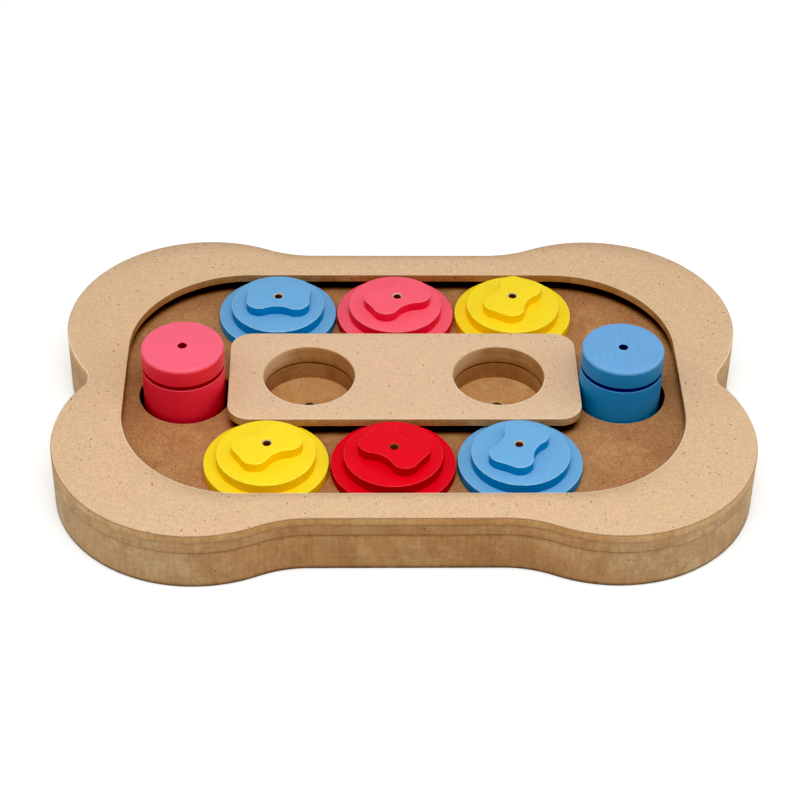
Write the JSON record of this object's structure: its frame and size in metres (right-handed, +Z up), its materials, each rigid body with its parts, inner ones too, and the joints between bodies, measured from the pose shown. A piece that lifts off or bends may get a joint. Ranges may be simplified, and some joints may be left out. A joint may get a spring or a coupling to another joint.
{
  "type": "dog puzzle feeder toy",
  "caption": "Bone-shaped wooden treat puzzle: stepped discs with bone handles slide in a captive track round a centre bar with open wells, and lift-out pegs plug the end wells.",
  "frame": {"origin": "middle of the board's underside", "axes": "+X along the board to its right end, +Y to its back, +Z up out of the wells"},
  "size_m": [0.3, 0.2032, 0.0465],
  "materials": {
    "mdf_face": "sanded fibreboard, unpainted",
    "mdf_floor": "machined fibreboard, unpainted",
    "blue_paint": "satin sky blue paint on wood",
    "pink_paint": "satin coral paint on wood",
    "red_paint": "satin red paint on wood",
    "yellow_paint": "satin yellow paint on wood"
  },
  "bodies": {
    "board": {"base_board": "mdf_floor", "track_ring": "mdf_face", "top_ring": "mdf_face", "bar_spacer": "mdf_face", "bar_plate": "mdf_face"},
    "left_peg": {"peg_left": "pink_paint"},
    "right_peg": {"peg_right": "blue_paint"},
    "back_left_disc": {"back_left_flange": "blue_paint", "back_left_collar": "blue_paint", "back_left_handle": "blue_paint"},
    "back_middle_disc": {"back_middle_flange": "pink_paint", "back_middle_collar": "pink_paint", "back_middle_handle": "pink_paint"},
    "back_right_disc": {"back_right_flange": "yellow_paint", "back_right_collar": "yellow_paint", "back_right_handle": "yellow_paint"},
    "front_left_disc": {"front_left_flange": "yellow_paint", "front_left_collar": "yellow_paint", "front_left_handle": "yellow_paint"},
    "front_middle_disc": {"front_middle_flange": "red_paint", "front_middle_collar": "red_paint", "front_middle_handle": "red_paint"},
    "front_right_disc": {"front_right_flange": "blue_paint", "front_right_collar": "blue_paint", "front_right_handle": "blue_paint"}
  },
  "joints": [
    {"name": "left_peg_lift", "type": "slide", "parent": "board", "child": "left_peg", "axis": [0, 0, 1], "range_m": [0, 0.035]},
    {"name": "right_peg_lift", "type": "slide", "parent": "board", "child": "right_peg", "axis": [0, 0, 1], "range_m": [0, 0.035]},
    {"name": "back_left_slide", "type": "slide", "parent": "board", "child": "back_left_disc", "axis": [1, 0, 0], "range_m": [-0.018, 0]},
    {"name": "back_middle_slide", "type": "slide", "parent": "board", "child": "back_middle_disc", "axis": [1, 0, 0], "range_m": [0, 0.012]},
    {"name": "back_right_slide", "type": "slide", "parent": "back_middle_disc", "child": "back_right_disc", "axis": [1, 0, 0], "range_m": [0, 0.012]},
    {"name": "front_left_slide", "type": "slide", "parent": "board", "child": "front_left_disc", "axis": [1, 0, 0], "range_m": [-0.0245, 0]},
    {"name": "front_middle_slide", "type": "slide", "parent": "board", "child": "front_middle_disc", "axis": [1, 0, 0], "range_m": [0, 0.017]},
    {"name": "front_right_slide", "type": "slide", "parent": "front_middle_disc", "child": "front_right_disc", "axis": [1, 0, 0], "range_m": [0, 0.017]}
  ]
}
